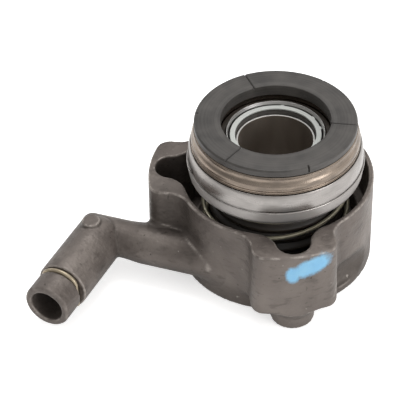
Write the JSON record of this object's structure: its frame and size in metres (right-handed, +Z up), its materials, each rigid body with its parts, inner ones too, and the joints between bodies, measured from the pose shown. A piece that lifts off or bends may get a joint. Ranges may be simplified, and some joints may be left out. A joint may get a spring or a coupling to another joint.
{
  "type": "concentric slave cylinder",
  "caption": "Hydraulic clutch release cylinder with its release bearing: a round die-cast body with bolt lobes and a side arm with an angled line socket, around a sprung annular piston.",
  "frame": {"origin": "centre of the outline's box, on the base face that bolts to the gearbox", "axes": "+Z up the bore towards the clutch, -Y towards the line socket's mouth, +X away from the side arm"},
  "size_m": [0.11, 0.119, 0.0606],
  "materials": {
    "die_cast_alloy": "as-cast satin, darkened in use",
    "drawn_steel": "smooth drawn",
    "pressed_steel": "bright, finely brushed",
    "ground_steel": "ground and polished",
    "heat_tinted_steel": "straw-brown heat tint",
    "polished_steel": "polished",
    "zinc_plated_wire": "zinc plated",
    "clip_wire": "yellow passivated",
    "black_plastic": "satin, glass filled",
    "pale_plastic": "satin",
    "piston_plastic": "satin",
    "cage_plastic": "satin",
    "rubber": "matt"
  },
  "bodies": {
    "housing": {"housing": "die_cast_alloy", "guide_tube": "drawn_steel", "tube_o_ring": "rubber", "base_o_ring": "rubber", "shaft_seal_case": "pressed_steel", "shaft_seal_lip": "rubber", "shaft_seal_spring": "zinc_plated_wire", "preload_spring": "zinc_plated_wire", "dust_boot": "rubber", "elbow_ball": "polished_steel", "base_ball": "polished_steel"},
    "piston_group": {"piston": "piston_plastic", "pressure_seal": "rubber", "seal_backing_ring": "pale_plastic", "retaining_ring": "pale_plastic", "spring_seat": "pressed_steel", "bearing_shell": "pressed_steel", "shell_snap_ring": "pressed_steel", "stationary_race": "ground_steel", "bearing_outer_seal": "rubber"},
    "rotor": {"rotating_race": "heat_tinted_steel", "contact_ring": "black_plastic", "bearing_inner_seal": "rubber"},
    "ball_set": {"ball_cage": "cage_plastic", "ball_01": "polished_steel", "ball_02": "polished_steel", "ball_03": "polished_steel", "ball_04": "polished_steel", "ball_05": "polished_steel", "ball_06": "polished_steel", "ball_07": "polished_steel", "ball_08": "polished_steel", "ball_09": "polished_steel", "ball_10": "polished_steel", "ball_11": "polished_steel", "ball_12": "polished_steel", "ball_13": "polished_steel", "ball_14": "polished_steel"},
    "clip": {"wire_clip": "clip_wire"}
  },
  "joints": [
    {"name": "piston_slide", "type": "slide", "parent": "housing", "child": "piston_group", "axis": [0, 0, 1], "range_m": [-0.01, 0], "stiffness_N_per_m": 1500, "springref_m": 0.02, "deforming": ["preload_spring", "dust_boot"]},
    {"name": "bearing_spin", "type": "hinge", "parent": "piston_group", "child": "rotor", "pos_m": [0.01819, 0.0117, 0.046], "axis": [0, 0, 1], "continuous": true},
    {"name": "cage_spin", "type": "hinge", "parent": "piston_group", "child": "ball_set", "pos_m": [0.01819, 0.0117, 0.046], "axis": [0, 0, 1], "continuous": true},
    {"name": "clip_slide", "type": "slide", "parent": "housing", "child": "clip", "axis": [0, 0, 1], "range_m": [0, 0.003]}
  ],
  "couplings": [
    {"joint": "cage_spin", "follows": "bearing_spin", "ratio": 0.471}
  ]
}
